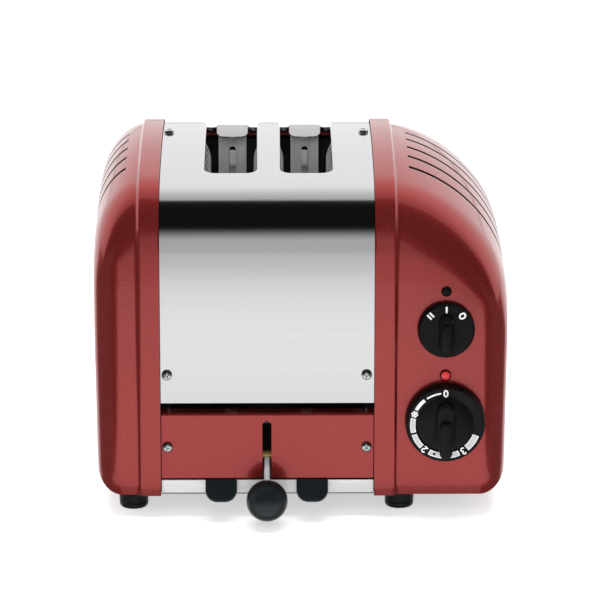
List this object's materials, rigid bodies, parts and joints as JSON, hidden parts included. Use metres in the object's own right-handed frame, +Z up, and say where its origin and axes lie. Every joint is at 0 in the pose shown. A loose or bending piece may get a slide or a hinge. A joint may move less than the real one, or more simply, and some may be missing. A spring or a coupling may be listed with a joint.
{
  "type": "pop up toaster",
  "caption": "Loaf-shaped pop up toaster: folded steel cover with two bread slots between hollow end castings, ball lever, crumb tray and two rotary controls.",
  "frame": {"origin": "under the middle of the whole at the bottom of its feet", "axes": "+X across the front towards the controls, +Y from the front to the rear, +Z up"},
  "size_m": [0.26, 0.249, 0.22],
  "materials": {
    "red_enamel": "gloss enamel over cast metal and sheet",
    "brushed_steel": "brushed along its width",
    "plain_steel": "plain rolled sheet",
    "bright_screw": "bright zinc plate",
    "black_plastic": "fine moulded texture",
    "satin_plastic": "satin moulding",
    "black_rubber": "matt",
    "brass": "turned",
    "mica": "layered mica sheet",
    "lamp_red": "clear red lens",
    "ceramic": "glazed porcelain"
  },
  "bodies": {
    "housing": {"left_end_casting": "red_enamel", "right_end_casting": "red_enamel", "body_cover": "brushed_steel", "front_lower_panel": "red_enamel", "rear_lower_panel": "red_enamel", "base_plate": "plain_steel", "front_foot_left": "black_rubber", "front_foot_right": "black_rubber", "rear_foot_left": "black_rubber", "rear_foot_right": "black_rubber", "front_end_plate": "plain_steel", "rear_end_plate": "plain_steel", "front_guide_left": "plain_steel", "front_guide_right": "plain_steel", "rear_guide_left": "plain_steel", "rear_guide_right": "plain_steel", "left_heat_shield": "plain_steel", "right_heat_shield": "plain_steel", "heating_element_left": "mica", "heating_element_centre": "mica", "heating_element_right": "mica", "bread_guard_left_outer": "brushed_steel", "bread_guard_left_inner": "brushed_steel", "bread_guard_right_outer": "brushed_steel", "bread_guard_right_inner": "brushed_steel", "lever_pivot_bracket": "plain_steel", "lever_pivot_pin": "plain_steel", "selector_switch": "black_plastic", "timer_case": "plain_steel", "neon_bezel": "black_plastic", "neon_lens": "lamp_red", "index_plug": "black_plastic", "terminal_block": "ceramic", "cable_gland": "black_plastic", "front_upper_screw_left": "bright_screw", "front_upper_screw_right": "bright_screw", "front_lower_screw_left": "bright_screw", "front_lower_screw_right": "bright_screw", "rear_upper_screw_left": "bright_screw", "rear_upper_screw_right": "bright_screw", "rear_lower_screw_left": "bright_screw", "rear_lower_screw_right": "bright_screw", "top_screw_left": "bright_screw", "top_screw_right": "bright_screw"},
    "lever": {"lever_plate_left": "plain_steel", "lever_plate_right": "plain_steel", "lever_lift_pin": "plain_steel", "lever_barrel": "brass", "lever_rod": "brushed_steel", "lever_ball": "satin_plastic"},
    "carriage": {"bread_rack_left": "plain_steel", "bread_rack_right": "plain_steel", "carriage_yoke": "plain_steel"},
    "tray": {"crumb_tray": "plain_steel", "tray_grip_left": "satin_plastic", "tray_grip_right": "satin_plastic"},
    "selector": {"selector_knob": "black_plastic", "selector_shaft": "plain_steel"},
    "timer": {"timer_knob": "black_plastic", "timer_shaft": "plain_steel"}
  },
  "joints": [
    {"name": "lever_hinge", "type": "hinge", "parent": "housing", "child": "lever", "pos_m": [-0.0216, -0.0485, 0.048], "axis": [-1, 0, 0], "range_deg": [0, 30]},
    {"name": "carriage_lift", "type": "slide", "parent": "housing", "child": "carriage", "axis": [0, 0, -1], "range_m": [0, 0.0389]},
    {"name": "tray_slide", "type": "slide", "parent": "housing", "child": "tray", "axis": [0, -1, 0], "range_m": [0, 0.0045]},
    {"name": "selector_turn", "type": "hinge", "parent": "housing", "child": "selector", "pos_m": [0.0905, -0.0935, 0.1248], "axis": [0, 1, 0], "range_deg": [-45, 45]},
    {"name": "timer_turn", "type": "hinge", "parent": "housing", "child": "timer", "pos_m": [0.0905, -0.0935, 0.0642], "axis": [0, 1, 0], "range_deg": [0, 250]}
  ],
  "couplings": [
    {"joint": "carriage_lift", "follows": "lever_hinge", "m_per_rad": 0.07414}
  ]
}
